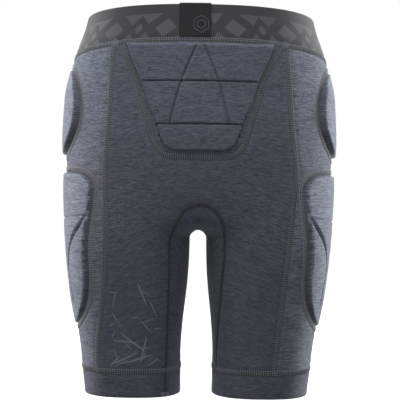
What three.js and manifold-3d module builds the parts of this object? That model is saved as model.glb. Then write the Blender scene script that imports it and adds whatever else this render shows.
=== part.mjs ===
// Padded impact shorts for skiing and snowboarding, shown as worn, standing on the two leg hems.
// Millimetres. +Z is up, the wearer faces +Y, and +X is the wearer's right.
// The origin is the centre of the footprint, on the plane of the hems.
//
// The fabric body is one skin, lofted around each leg's axis and joined at the middle. Thin cutting
// blades along the seams divide it into the sewn panels. Pad covers, foams and linings are patches
// laid on the skin, and the flatlock seams are ribbons laid over the panel joints.
import * as THREE from 'three';
import { mergeVertices } from 'three/addons/utils/BufferGeometryUtils.js';
import Module from 'manifold-3d';

const wasm = await Module();
wasm.setup();

// ---- Driving dimensions ----
const panelThickness = 1.0;
const bandThickness = 1.8;
const cuffThickness = 2.2;
const cuffHeight = 30;
const seamGap = 0.8;            // between two panels, under the seam threads
const seamWidth = 7;            // flatlock seam, across its two needle rows
const seamLift = 1.1;           // underside of the threads above the skin
const gussetSeamLift = 1.7;     // the same over the tight curves of the crotch
const seamThickness = 0.6;
const hipPadHeight = 8.5;       // cover's outer face above the skin
const thighPadHeight = 6.5;
const tailbonePadHeight = 5;
const foamClearance = 0.6;
const foamBed = -1.3;           // underside of the foam, just inside the skin
const liningLevel = -2.3;       // outer face of the pocket lining
const liningThickness = 0.7;
const grooveWidth = 2.6;
const grooveFloor = 2.2;        // foam left under a groove, above the skin
const labelThickness = 0.8;
const labelLeft = -24;
const labelRight = 11.5;
const labelTail = 22;           // how far the label hangs down inside the band
const labelStandOff = 0.5;      // between the label and the band's outer face
const labelInside = -3;         // outer face of the tail inside the band, from the skin
const topOfLoft = 470;
const forkHeight = 190;         // above it the axes of the two halves stand upright
const halfOverlap = 6;          // each half crosses the middle plane by this much before they are joined
const forkInside = [183, 205];  // the halves turn from half a torso into a leg between these heights
const forkOutside = [150, 260];

// ---- Body form: stations of [height, value] ----
const hipHalfWidth = smooth([
  [0, 130.3], [48, 135.5], [83, 140], [119, 144.5], [154, 148.5], [190, 151.5],
  [230, 153.5], [272, 154.8], [340, 152.5], [378, 150], [402, 143.8], [426, 135.5], [470, 126],
]);
const legGapHalf = smooth([[0, 18.6], [48, 18.8], [83, 16.6], [122, 12.4], [152, 10.3], [190, 9.5]]);
const backDepth = smooth([
  [0, 66], [48, 71], [83, 76], [119, 82], [154, 88], [190, 95], [230, 102], [272, 105],
  [310, 103], [350, 97], [402, 90], [470, 85],
]);
const frontDepth = smooth([
  [0, 77], [48, 81], [83, 85], [119, 89], [154, 93], [190, 97], [230, 102.5], [272, 106.5],
  [310, 108.5], [350, 109], [402, 107.5], [470, 103],
]);
const torsoRoundness = 2.35;    // exponent of the torso's super-ellipse
const legRoundness = 2.5;       // the same for a leg

// The waist seam and the waistband's top edge fall towards the front: [depth, height].
const waistSeam = smooth([[-120, 408], [-89, 403.5], [-35, 394], [0, 388.5], [50, 383], [120, 379]]);
const bandTop = smooth([[-120, 446.5], [-89, 444], [-35, 438.5], [0, 434.5], [50, 429], [120, 424]]);

// ---- Seam lines: [across, height], seen from the back or the front ----
const sideBackLeft = [[-96, 430], [-98.5, 392], [-100.5, 336], [-105, 262], [-104, 222], [-103.5, 156],
  [-106.5, 111], [-112, 65], [-112, 10]];
const sideBackRight = [[96, 430], [98, 392], [102, 338], [107, 282], [110, 255], [106.5, 215], [101, 160],
  [95.5, 103], [90, 44], [87, 10]];
const sideFront = [[97, 430], [98, 380], [101, 330], [106, 280], [108, 200], [111, 120], [113, 60],
  [113, 10]];
const tailboneEdge = [[97, 404], [88, 390], [77, 373], [70, 355], [65.5, 335], [60.5, 319], [56.5, 307],
  [53, 293], [47, 281], [39, 275], [26, 272.5], [0, 272]];
const gussetLeft = [[-35, 10], [-34.5, 35], [-33.5, 65], [-32.5, 112], [-31.5, 152], [-32, 166],
  [-30.5, 182], [-26.5, 193], [-17.5, 210], [-9, 217], [1, 220.5]];
const gussetRight = [[23, 10], [23, 38], [23.5, 60], [25.5, 91], [27.5, 127], [29.2, 147], [30.4, 167],
  [29.6, 187], [27, 200], [21, 210.5], [12, 218], [1, 220.5]];
const gussetFront = [[41, 10], [40, 31], [39.4, 54], [37.4, 104], [36, 142], [35, 165], [32, 184],
  [26, 199], [15, 212], [0, 217]];

// ---- Pad outlines, seen from the side: [back-to-front distance, height], half of each ----
const hipEdge = [[0, 379], [-17, 378], [-32, 372], [-46, 355], [-53.5, 337], [-56.5, 317], [-54.5, 303],
  [-47, 290], [-31, 277], [-14, 272], [0, 271]];
const thighEdge = [[0, 259], [-50, 258.5], [-67, 255], [-76, 246], [-79.5, 222], [-80, 192], [-77.5, 157],
  [-72.5, 128], [-64, 104], [-49, 87], [-28, 78], [0, 75]];

// ---- Pad grooves ----
const tailboneGrooves = [
  [[-64, 356], [64, 356]],
  [[-51, 309], [51, 309]],
  [[-5, 392], [-32.5, 309]],
  [[5, 392], [32.5, 309]],
];
const thighGrooves = [
  [[-76, 206], [-64, 204.5], [-42, 203.5], [0, 202], [42, 203.5], [64, 204.5], [76, 206]],
  [[-76, 205], [-71, 195], [-60, 180], [-51, 166], [-44, 150], [-42.5, 135], [-44, 107]],
  [[76, 205], [71, 195], [60, 180], [51, 166], [44, 150], [42.5, 135], [44, 107]],
];

// A smooth function through [position, value] pairs, level past its ends.
function smooth(pairs) {
  const slope = pairs.map((_, i) => {
    const a = pairs[Math.max(i - 1, 0)];
    const b = pairs[Math.min(i + 1, pairs.length - 1)];
    return (b[1] - a[1]) / (b[0] - a[0]);
  });
  return (at) => {
    if (at <= pairs[0][0]) return pairs[0][1];
    const i = pairs.findIndex((p) => p[0] >= at);
    if (i < 0) return pairs[pairs.length - 1][1];
    const [x0, y0] = pairs[i - 1];
    const [x1, y1] = pairs[i];
    const h = x1 - x0;
    const t = (at - x0) / h;
    return (1 + 2 * t) * (1 - t) ** 2 * y0 + t * (1 - t) ** 2 * h * slope[i - 1]
      + t * t * (3 - 2 * t) * y1 + t * t * (t - 1) * h * slope[i];
  };
}

// ---- The skin ----

// Axis of one half and its half sizes at a height. The half is described on the right side, +X.
function sectionAt(z) {
  const low = Math.min(z, forkHeight);
  const outside = hipHalfWidth(z);
  const axisX = (hipHalfWidth(low) + legGapHalf(low)) / 2;
  const axisY = (frontDepth(z) - backDepth(z)) / 2;
  const deep = (frontDepth(z) + backDepth(z)) / 2;
  return { outside, axisX, axisY, deep };
}

// Distance from the half's axis to the skin, in the direction angle (0 is outwards, 90 degrees is forwards).
function skinRadius(angle, z) {
  const { outside, axisX, deep } = sectionAt(z);
  const across = Math.cos(angle);
  const along = Math.sin(angle);
  const legWide = outside - axisX;
  const leg = (Math.abs(across / legWide) ** legRoundness + Math.abs(along / deep) ** legRoundness)
    ** (-1 / legRoundness);
  const legShare = 1 - THREE.MathUtils.lerp(
    THREE.MathUtils.smoothstep(z, ...forkOutside),
    THREE.MathUtils.smoothstep(z, ...forkInside),
    THREE.MathUtils.smoothstep(-across, 0, 1),
  );
  if (legShare >= 1) return leg;
  let inside = 0;
  let beyond = 400;
  for (let i = 0; i < 40; i++) {
    const r = (inside + beyond) / 2;
    const x = axisX + r * across;
    const out = Math.abs(x / outside) ** torsoRoundness + Math.abs(r * along / deep) ** torsoRoundness;
    if (out > 1 || x < -halfOverlap) beyond = r;
    else inside = r;
  }
  return THREE.MathUtils.lerp(inside, leg, legShare);
}

// Distance of a point outside the skin, on the nearer half.
function skinDistance(x, y, z) {
  const { axisX, axisY } = sectionAt(z);
  const dx = Math.abs(x) - axisX;
  const dy = y - axisY;
  return Math.hypot(dx, dy) - skinRadius(Math.atan2(dy, dx), z);
}

// The views that seams and pads are drawn in: where a drawing's point lies at a depth towards the viewer.
const views = {
  back: (across, height, out) => new THREE.Vector3(across, -out, height),
  front: (across, height, out) => new THREE.Vector3(across, out, height),
  left: (across, height, out) => new THREE.Vector3(-out, across, height),
  right: (across, height, out) => new THREE.Vector3(out, across, height),
};

// The point of a view's drawing that lies lift outside the skin.
function onSkin(view, across, height, lift) {
  let near = view === 'left' || view === 'right' ? 60 : 0;
  let far = 260;
  for (let i = 0; i < 40; i++) {
    const out = (near + far) / 2;
    const p = views[view](across, height, out);
    if (skinDistance(p.x, p.y, p.z) > lift) far = out;
    else near = out;
  }
  return views[view](across, height, near);
}

// The direction away from the skin at a point, and its steepness.
function slopeAt(p) {
  const e = 0.5;
  return new THREE.Vector3(
    skinDistance(p.x + e, p.y, p.z) - skinDistance(p.x - e, p.y, p.z),
    skinDistance(p.x, p.y + e, p.z) - skinDistance(p.x, p.y - e, p.z),
    skinDistance(p.x, p.y, p.z + e) - skinDistance(p.x, p.y, p.z - e),
  ).divideScalar(2 * e);
}

// The point nearest to p that lies lift outside the skin.
function lifted(p, lift) {
  const at = p.clone();
  for (let i = 0; i < 6; i++) {
    const slope = slopeAt(at);
    at.addScaledVector(slope, (lift - skinDistance(at.x, at.y, at.z)) / slope.lengthSq());
  }
  return at;
}

// ---- Solids ----

function solidOf(geometry) {
  geometry.deleteAttribute('normal');
  geometry.deleteAttribute('uv');
  const merged = mergeVertices(geometry, 1e-4);
  return new wasm.Manifold(new wasm.Mesh({
    numProp: 3,
    vertProperties: merged.attributes.position.array,
    triVerts: new Uint32Array(merged.index.array),
  }));
}

function geometryOf(solid) {
  const mesh = solid.getMesh();
  const geometry = new THREE.BufferGeometry();
  geometry.setAttribute('position', new THREE.BufferAttribute(new Float32Array(mesh.vertProperties), 3));
  geometry.setIndex(new THREE.BufferAttribute(new Uint32Array(mesh.triVerts), 1));
  return geometry.toNonIndexed();
}

// A geometry from points and triangles, turned so that its faces point out.
function meshOf(points, triangles) {
  let volume = 0;
  for (const [a, b, c] of triangles) {
    volume += points[a].dot(new THREE.Vector3().crossVectors(points[b], points[c]));
  }
  const geometry = new THREE.BufferGeometry().setFromPoints(points);
  geometry.setIndex(triangles.flatMap(([a, b, c]) => (volume < 0 ? [a, c, b] : [a, b, c])));
  return geometry;
}

// Two triangles for the strip between point i and i + 1 of two rows that start at p and q.
function strip(p, q, count, closed) {
  const made = [];
  for (let i = 0; i < (closed ? count : count - 1); i++) {
    const j = (i + 1) % count;
    made.push([p + i, p + j, q + j], [p + i, q + j, q + i]);
  }
  return made;
}

// A solid through closed rings of points, with flat ends.
function loft(rings) {
  const count = rings[0].length;
  const points = rings.flat();
  const triangles = [];
  const last = (rings.length - 1) * count;
  for (let at = 0; at < last; at += count) triangles.push(...strip(at, at + count, count, true));
  for (let i = 1; i < count - 1; i++) {
    triangles.push([0, i + 1, i], [last, last + i, last + i + 1]);
  }
  return solidOf(meshOf(points, triangles));
}

const outerSides = 23;          // of a loft's ring, around the outside
const innerSides = 6;           // and across the middle of the body, or down the inside of the leg
const loftHeights = [
  -5, 50, 90, 130, 164, 183, 188, 192, 196, 200, 206, 216, 232, 255, 286, 322, 360, 400, topOfLoft,
];

// The directions of a ring's corners. Two of them sit where half a torso is cut off at the middle.
function ringAngles(z) {
  const { outside, axisX, deep } = sectionAt(Math.max(z, forkHeight));
  const cutDepth = deep * (1 - (halfOverlap / outside) ** torsoRoundness) ** (1 / torsoRoundness);
  const corner = Math.atan2(cutDepth, -halfOverlap - axisX);
  const outer = Array.from({ length: outerSides }, (_, i) => corner * (2 * i / outerSides - 1));
  const rest = 2 * (Math.PI - corner);
  return [...outer, ...Array.from({ length: innerSides }, (_, i) => corner + rest * i / innerSides)];
}

// Everything within the skin moved outwards by lift, over a list of heights.
function bodyOf(lift, heights, side) {
  const rings = heights.map((z) => ringAngles(z).map((angle) => {
    const { axisX, axisY } = sectionAt(z);
    const r = skinRadius(angle, z) + lift;
    return new THREE.Vector3(side * (axisX + r * Math.cos(angle)), axisY + r * Math.sin(angle), z);
  }));
  return loft(rings);
}

function wholeBody(lift) {
  return bodyOf(lift, loftHeights, 1).add(bodyOf(lift, loftHeights, -1));
}

// A drawing's shape pushed through the part, between two distances towards the viewer.
function pushed(view, shape, near, far) {
  const depth = far - near;
  const geometry = new THREE.ExtrudeGeometry(shape, { depth, bevelEnabled: false, curveSegments: 1 });
  const place = new THREE.Matrix4();
  if (view === 'side') place.set(0, 0, 1, near, 1, 0, 0, 0, 0, 1, 0, 0, 0, 0, 0, 1);
  if (view === 'back') place.set(1, 0, 0, 0, 0, 0, -1, -near, 0, 1, 0, 0, 0, 0, 0, 1);
  return solidOf(geometry.applyMatrix4(place));
}

function curveThrough(pairs, closed = false) {
  return new THREE.CatmullRomCurve3(pairs.map(([a, z]) => new THREE.Vector3(a, z, 0)), closed, 'centripetal');
}

// A line's left and right edges, width apart, as lists of [across, height].
function edgesOf(line, width) {
  const edge = (sign) => line.map((p, i) => {
    const a = line[Math.max(i - 1, 0)];
    const b = line[Math.min(i + 1, line.length - 1)];
    const along = new THREE.Vector3().subVectors(b, a).normalize();
    return [p.x - sign * along.y * width / 2, p.y + sign * along.x * width / 2];
  });
  return [edge(1), edge(-1)];
}

function pointsEvery(pairs, step) {
  const curve = curveThrough(pairs);
  return curve.getSpacedPoints(Math.max(2, Math.round(curve.getLength() / step)));
}

// A thin cutting sheet along a seam line, from the middle of the part out past the skin.
function blade(view, pairs) {
  const [one, other] = edgesOf(pointsEvery(pairs, 14), seamGap);
  const shape = new THREE.Shape([...one, ...other.reverse()].map(([a, z]) => new THREE.Vector2(a, z)));
  if (view === 'front') return pushed('back', shape, -200, 0);
  return pushed('back', shape, 0, 200);
}

// A ribbon along points on the skin, between two lifts, square to the skin. It may run round to its start.
function ribbonAlong(centre, width, low, high, closed) {
  const count = centre.length;
  const across = centre.map((p, i) => {
    const next = closed ? (i + 1) % count : Math.min(i + 1, count - 1);
    const previous = closed ? (i + count - 1) % count : Math.max(i - 1, 0);
    return centre[next].clone().sub(centre[previous]).cross(slopeAt(p)).setLength(width / 2);
  });
  const rows = [[-1, low], [1, low], [1, high], [-1, high]].map(([sign, lift]) => centre
    .map((p, i) => lifted(p.clone().addScaledVector(across[i], sign), lift)));
  const triangles = [];
  for (let k = 0; k < 4; k++) triangles.push(...strip(k * count, (k + 1) % 4 * count, count, closed));
  if (!closed) {
    const last = count - 1;
    triangles.push([0, count, 2 * count], [0, 2 * count, 3 * count]);
    triangles.push([last, 2 * count + last, count + last], [last, 3 * count + last, 2 * count + last]);
  }
  return solidOf(meshOf(rows.flat(), triangles));
}

function ribbon(view, pairs, width, low, high, step) {
  const centre = pointsEvery(pairs, step).map((p) => onSkin(view, p.x, p.y, 0));
  return ribbonAlong(centre, width, low, high, false);
}

// A full outline from half of one, whose ends lie on the middle line.
function mirrored(half) {
  return [...half, ...half.slice(1, -1).reverse().map(([a, z]) => [-a, z])];
}

const outlineSides = 21;        // of a hip or thigh pad
const tailboneSides = 40;

function outlineOf(pairs, sides) {
  return curveThrough(pairs, true).getSpacedPoints(sides).slice(0, sides);
}

function middleOf(outline) {
  const sum = outline.reduce((total, p) => total.add(p), new THREE.Vector3());
  return sum.divideScalar(outline.length);
}

// A patch over an outline: rings of [share of the outline, top lift, bottom lift], outermost first.
function patch(view, outline, rings) {
  const middle = middleOf(outline);
  const points = [];
  for (const face of [1, 2]) {
    for (const ring of rings) {
      for (const p of outline) {
        const at = middle.clone().lerp(p, ring[0]);
        points.push(onSkin(view, at.x, at.y, ring[face]));
      }
    }
    points.push(onSkin(view, middle.x, middle.y, rings[rings.length - 1][face]));
  }
  const count = outline.length;
  const faceSize = rings.length * count + 1;
  const triangles = [];
  for (let k = 0; k < rings.length - 1; k++) {
    const top = strip(k * count, (k + 1) * count, count, true);
    triangles.push(...top, ...top.map(([a, b, c]) => [faceSize + a, faceSize + c, faceSize + b]));
  }
  const inner = (rings.length - 1) * count;
  for (let i = 0; i < count; i++) {
    const j = (i + 1) % count;
    triangles.push([inner + i, inner + j, faceSize - 1]);
    triangles.push([faceSize + inner + j, faceSize + inner + i, 2 * faceSize - 1]);
  }
  triangles.push(...strip(faceSize, 0, count, true));
  return solidOf(meshOf(points, triangles));
}

// ---- Materials ----
function material(colour, roughness) {
  return new THREE.MeshStandardMaterial({ color: colour, roughness, metalness: 0 });
}
const heather = material(0x4b4d57, 0.9);
const sideHeather = material(0x5b5e69, 0.9);
const elastic = material(0x3a3b40, 0.8);
const labelCloth = material(0x1f2024, 0.7);
const thread = material(0x63615f, 0.7);
const foam = material(0x2c2d30, 0.95);
const mesh = material(0x26272b, 0.9);

const shorts = new THREE.Group();

function add(name, solid, finish) {
  const made = new THREE.Mesh(geometryOf(solid), finish);
  made.name = name;
  shorts.add(made);
}

// ---- Waistband, panels and cuffs ----

// Everything between a line that runs from back to front, seen from the side, and a floor.
function belowLine(line, offset, floor) {
  const depths = [-160, -120, -89, -60, -35, 0, 50, 90, 160];
  const shape = new THREE.Shape([
    ...depths.map((y) => new THREE.Vector2(y, line(y) + offset)),
    new THREE.Vector2(160, floor), new THREE.Vector2(-160, floor),
  ]);
  return pushed('side', shape, -220, 220);
}

const outerBody = wholeBody(0);
const underWaist = belowLine(waistSeam, -seamGap / 2, cuffHeight + seamGap / 2);
const bandZone = belowLine(bandTop, 0, 300).subtract(belowLine(waistSeam, seamGap / 2, 200));
const band = outerBody.intersect(bandZone).subtract(wholeBody(-bandThickness));
add('waistband', band, elastic);

const cuffZone = pushed('side', new THREE.Shape([
  new THREE.Vector2(-160, 0), new THREE.Vector2(160, 0),
  new THREE.Vector2(160, cuffHeight - seamGap / 2), new THREE.Vector2(-160, cuffHeight - seamGap / 2),
]), -220, 220);
const cuffs = outerBody.intersect(cuffZone).subtract(wholeBody(-cuffThickness)).decompose();
for (const cuff of cuffs) add(cuff.boundingBox().min[0] < 0 ? 'left_cuff' : 'right_cuff', cuff, heather);

const mirror = (pairs) => pairs.map(([a, z]) => [-a, z]);
const backPadLine = [...tailboneEdge, ...mirror(tailboneEdge).reverse().slice(1)];
const gussetBackLine = [...gussetLeft, ...[...gussetRight].reverse().slice(1)];
const gussetFrontLine = [...mirror(gussetFront), ...[...gussetFront].reverse().slice(1)];
const blades = [
  blade('back', sideBackLeft),
  blade('back', sideBackRight),
  blade('front', sideFront),
  blade('front', mirror(sideFront)),
  blade('back', backPadLine),
  blade('back', gussetBackLine),
  blade('front', gussetFrontLine),
  blade('front', [[0, 430], [0, 330], [0, 205]]),
];

const hipOutline = outlineOf(mirrored(hipEdge), outlineSides);
const thighOutline = outlineOf(mirrored(thighEdge), outlineSides);
const shapeOf = (outline) => new THREE.Shape(outline.map((p) => new THREE.Vector2(p.x, p.y)));
const grown = (outline, by) => {
  const middle = middleOf(outline);
  return outline.map((p) => p.clone().add(p.clone().sub(middle).setLength(by)));
};
const padHoles = [hipOutline, thighOutline]
  .map((outline) => pushed('side', shapeOf(grown(outline, seamGap)), 60, 200));
const mirroredHoles = padHoles.map((hole) => hole.mirror([1, 0, 0]));

let skin = outerBody.intersect(underWaist).subtract(wholeBody(-panelThickness));
for (const cut of [...blades, ...padHoles, ...mirroredHoles]) skin = skin.subtract(cut);

// Each panel is the piece of the cut skin nearest to a point on it.
const panels = {
  back_panel: ['back', 0, 245, heather],
  gusset: ['back', 0, 205, heather],
  left_front_panel: ['front', -60, 300, heather],
  right_front_panel: ['front', 60, 300, heather],
  left_side_panel: ['left', 0, 265, sideHeather],
  right_side_panel: ['right', 0, 265, sideHeather],
};

function reachOf(piece, point) {
  const { vertProperties } = piece.getMesh();
  let nearest = Infinity;
  for (let i = 0; i < vertProperties.length; i += 3) {
    const at = new THREE.Vector3(vertProperties[i], vertProperties[i + 1], vertProperties[i + 2]);
    nearest = Math.min(nearest, at.distanceTo(point));
  }
  return nearest;
}

const pieces = skin.decompose();
for (const [name, [view, across, height, finish]] of Object.entries(panels)) {
  const probe = onSkin(view, across, height, 0);
  const nearest = pieces.reduce((a, b) => (reachOf(a, probe) <= reachOf(b, probe) ? a : b));
  add(name, nearest, finish);
}

// ---- Pads: cover, foam and pocket lining ----
function rimThenDome(height) {
  return [[0.99, -0.1], [0.92, 0.1], [0.86, height * 0.86], [0.78, height], [0.4, height]];
}

function addPad(name, view, outline, height, grooves, coverFinish) {
  const cover = rimThenDome(height).map(([share, top]) => [share, top, top - panelThickness]);
  add(`${name}_cover`, patch(view, outline, cover), coverFinish);
  const body = rimThenDome(height).slice(2).map(([share, top]) => [
    share, top - panelThickness - foamClearance, foamBed,
  ]);
  let solid = patch(view, outline, body);
  for (const line of grooves) solid = solid.subtract(ribbon(view, line, grooveWidth, grooveFloor, 20, 16));
  add(`${name}_foam`, solid, foam);
  const lining = [1.01, 0.78, 0.4].map((share) => [share, liningLevel, liningLevel - liningThickness]);
  add(`${name}_lining`, patch(view, outline, lining), mesh);
}

for (const side of ['left', 'right']) {
  addPad(`${side}_hip_pad`, side, hipOutline, hipPadHeight, [], sideHeather);
  addPad(`${side}_thigh_pad`, side, thighOutline, thighPadHeight, thighGrooves, sideHeather);
}

// The tailbone pad fills its seam line up to the waist seam.
const insideSeam = tailboneEdge.slice(1).map(([a, z]) => [Math.max(a - 1.2, 0), z + (a < 45 ? 1.2 : 0)]);
const underWaistSeam = (across) => [across, waistSeam(onSkin('back', across, 400, 0).y) - 1];
const tailboneOutline = outlineOf(mirrored([
  underWaistSeam(0), underWaistSeam(35), underWaistSeam(70), underWaistSeam(93), ...insideSeam,
]), tailboneSides);
addPad('tailbone_pad', 'back', tailboneOutline, tailbonePadHeight, tailboneGrooves, heather);

// ---- Flatlock seams ----
const seamTop = seamLift + seamThickness;
const seamAboveCuff = cuffHeight + 4.5;
// The seams that run up to the waist seam stop just under it, which is lower towards the front.
const sideBackTop = 389.5;
const tailboneTop = 386;
const sideFrontTop = 365.5;
const centreFrontTop = 362.5;
const gussetTop = 230;

// The part of a seam line between two heights.
function between(pairs, low, high) {
  const line = curveThrough(pairs).getSpacedPoints(400).filter((p) => p.y >= low && p.y <= high);
  const kept = line.filter((_, i) => i % 12 === 0 || i === line.length - 1);
  return kept.map((p) => [p.x, p.y]);
}

function addSeam(name, view, pairs, step, lift = seamLift) {
  add(name, ribbon(view, pairs, seamWidth, lift, lift + seamThickness, step), thread);
}

addSeam('left_side_back_seam', 'back', between(sideBackLeft, seamAboveCuff, sideBackTop), 15);
addSeam('right_side_back_seam', 'back', between(sideBackRight, seamAboveCuff, sideBackTop), 15);
addSeam('left_side_front_seam', 'front', between(mirror(sideFront), seamAboveCuff, sideFrontTop), 15);
addSeam('right_side_front_seam', 'front', between(sideFront, seamAboveCuff, sideFrontTop), 15);
addSeam('tailbone_seam', 'back', between(backPadLine, 0, tailboneTop), 15);
addSeam('gusset_back_seam', 'back', between(gussetBackLine, seamAboveCuff, gussetTop), 8.5, gussetSeamLift);
addSeam('gusset_front_seam', 'front', between(gussetFrontLine, seamAboveCuff, gussetTop), 8.5, gussetSeamLift);
addSeam('centre_front_seam', 'front', [[0, centreFrontTop], [0, 300], [0, 221.5]], 15);

// A seam around a pad whose outline is drawn from the side.
function addPadSeam(name, view, half, count) {
  const line = curveThrough(mirrored(half), true).getSpacedPoints(count).slice(0, count);
  const centre = line.map((p) => onSkin(view, p.x, p.y, 0));
  add(name, ribbonAlong(centre, seamWidth, seamLift, seamTop, true), thread);
}

for (const side of ['left', 'right']) {
  addPadSeam(`${side}_hip_pad_seam`, side, hipEdge, 22);
  addPadSeam(`${side}_thigh_pad_seam`, side, thighEdge, 30);
}

// The waist seam: where its height curve meets the skin, in each direction from a centre line.
const waistLine = Array.from({ length: 44 }, (_, i) => {
  const angle = i / 44 * 2 * Math.PI;
  let near = 60;
  let far = 260;
  const at = new THREE.Vector3();
  for (let k = 0; k < 40; k++) {
    const r = (near + far) / 2;
    at.set(r * Math.cos(angle), 8 + r * Math.sin(angle), 0);
    at.z = waistSeam(at.y);
    if (skinDistance(at.x, at.y, at.z) > 0) far = r;
    else near = r;
  }
  return at;
});
add('waist_seam', ribbonAlong(waistLine, seamWidth, seamLift, seamTop, true), thread);

for (const [name, side] of [['left', -1], ['right', 1]]) {
  const { axisX, axisY } = sectionAt(cuffHeight);
  const line = Array.from({ length: 36 }, (_, i) => {
    const angle = i / 36 * 2 * Math.PI;
    const r = skinRadius(angle, cuffHeight);
    return new THREE.Vector3(side * (axisX + r * Math.cos(angle)), axisY + r * Math.sin(angle), cuffHeight);
  });
  add(`${name}_cuff_seam`, ribbonAlong(line, seamWidth, seamLift, seamTop, true), thread);
}

// ---- Label: a tab folded over the waistband's top edge at the back ----
function labelProfile(x) {
  const edge = bandTop(onSkin('back', x, 440, 0).y);
  const top = (lift) => onSkin('back', x, edge, lift).y;
  const seam = waistSeam(onSkin('back', x, 404, 0).y) + seamWidth / 2 + 0.6;
  const out = labelStandOff;
  const inside = labelInside;
  const tailEnd = edge - labelTail;
  return [
    [onSkin('back', x, seam, out).y, seam],
    [top(out), edge + 0.5],
    [top(inside), edge + 0.5],
    [onSkin('back', x, tailEnd, inside).y, tailEnd],
    [onSkin('back', x, tailEnd, inside - labelThickness).y, tailEnd],
    [top(inside - labelThickness), edge + 0.5 + labelThickness],
    [top(out + labelThickness), edge + 0.5 + labelThickness],
    [onSkin('back', x, seam, out + labelThickness).y, seam],
  ].map(([y, z]) => new THREE.Vector3(x, y, z));
}

function labelSolid() {
  const steps = 4;
  const rows = Array.from({ length: steps + 1 }, (_, i) => labelProfile(
    THREE.MathUtils.lerp(labelLeft, labelRight, i / steps),
  ));
  const count = rows[0].length;
  const triangles = [];
  for (let k = 0; k < steps; k++) triangles.push(...strip(k * count, (k + 1) * count, count, true));
  const end = steps * count;
  for (let k = 0; k < count / 2 - 1; k++) {
    const [a, b, c, d] = [k, k + 1, count - 2 - k, count - 1 - k];
    triangles.push([a, c, b], [a, d, c]);
    triangles.push([end + a, end + b, end + c], [end + a, end + c, end + d]);
  }
  return solidOf(meshOf(rows.flat(), triangles));
}
add('waist_label', labelSolid(), labelCloth);

export default shorts;
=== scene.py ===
import math

import bmesh
import bpy
import numpy as np
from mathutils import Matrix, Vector
from mathutils.kdtree import KDTree


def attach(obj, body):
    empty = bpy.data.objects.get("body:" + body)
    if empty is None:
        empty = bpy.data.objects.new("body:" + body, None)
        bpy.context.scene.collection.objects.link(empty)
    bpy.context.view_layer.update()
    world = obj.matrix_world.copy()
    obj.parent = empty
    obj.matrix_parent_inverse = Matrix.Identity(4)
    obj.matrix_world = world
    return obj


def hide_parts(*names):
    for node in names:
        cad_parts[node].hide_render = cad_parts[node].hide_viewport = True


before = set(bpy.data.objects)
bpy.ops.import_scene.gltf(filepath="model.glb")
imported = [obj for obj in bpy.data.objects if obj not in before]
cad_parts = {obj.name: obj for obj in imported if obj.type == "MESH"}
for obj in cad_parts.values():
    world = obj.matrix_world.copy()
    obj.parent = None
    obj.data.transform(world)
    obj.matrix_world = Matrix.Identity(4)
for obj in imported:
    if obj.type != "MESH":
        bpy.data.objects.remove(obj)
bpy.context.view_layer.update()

# Lengths are millimetres until a mesh is made. +Z is up, the wearer faces +Y and +X is the wearer's right.
MM = 0.001

# ---- Driving dimensions. The pads and seams are a little smaller than the CAD's ----
PANEL_THICKNESS = 1.0
BAND_THICKNESS = 1.8
CUFF_THICKNESS = 2.2
CUFF_HEIGHT = 30
SEAM_WIDTH = 6.4
NARROW_SEAM_WIDTH = 4.2
HIP_HEIGHT = 8.2
THIGH_HEIGHT = 6.4
TAILBONE_HEIGHT = 4.6
TORSO_ROUNDNESS = 2.35
LEG_ROUNDNESS = 2.5
FORK_HEIGHT = 190               # above it the axes of the two halves stand upright
HALF_OVERLAP = 6
FORK_INSIDE = (183, 205)
FORK_OUTSIDE = (150, 260)


def smooth(pairs):
    """A smooth function through (position, value) pairs, level past its ends."""
    at, value = np.array(pairs, float).T
    last = len(at) - 1
    before, after = np.maximum(np.arange(last + 1) - 1, 0), np.minimum(np.arange(last + 1) + 1, last)
    slope = (value[after] - value[before]) / (at[after] - at[before])

    def function(x):
        k = np.clip(np.searchsorted(at, x), 1, last)
        h = at[k] - at[k - 1]
        t = np.clip((x - at[k - 1]) / h, 0, 1)
        return ((1 + 2 * t) * (1 - t) ** 2 * value[k - 1] + t * (1 - t) ** 2 * h * slope[k - 1]
                + t * t * (3 - 2 * t) * value[k] + t * t * (t - 1) * h * slope[k])

    return function


def ease(x, low, high):
    """0 below low, 1 above high, and smooth in between."""
    t = np.clip((np.asarray(x, float) - low) / (high - low), 0, 1)
    return t * t * (3 - 2 * t)


# ---- Body form: stations of (height, value) ----
hip_half_width = smooth([
    (0, 130.3), (48, 135.5), (83, 140), (119, 144.5), (154, 148.5), (190, 151.5),
    (230, 153.5), (272, 154.8), (340, 152.5), (378, 150), (402, 143.8), (426, 135.5), (470, 126)])
leg_gap_half = smooth([(0, 18.6), (48, 18.8), (83, 16.6), (122, 12.4), (152, 10.3), (190, 9.5)])
back_depth = smooth([
    (0, 66), (48, 71), (83, 76), (119, 82), (154, 88), (190, 95), (230, 102), (272, 105),
    (310, 103), (350, 97), (402, 90), (470, 85)])
front_depth = smooth([
    (0, 77), (48, 81), (83, 85), (119, 89), (154, 93), (190, 97), (230, 102.5), (272, 106.5),
    (310, 108.5), (350, 109), (402, 107.5), (470, 103)])
waist_seam = smooth([(-120, 408), (-89, 403.5), (-35, 394), (0, 388.5), (50, 383), (120, 379)])
band_top = smooth([(-120, 446.5), (-89, 444), (-35, 438.5), (0, 434.5), (50, 429), (120, 424)])

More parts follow.
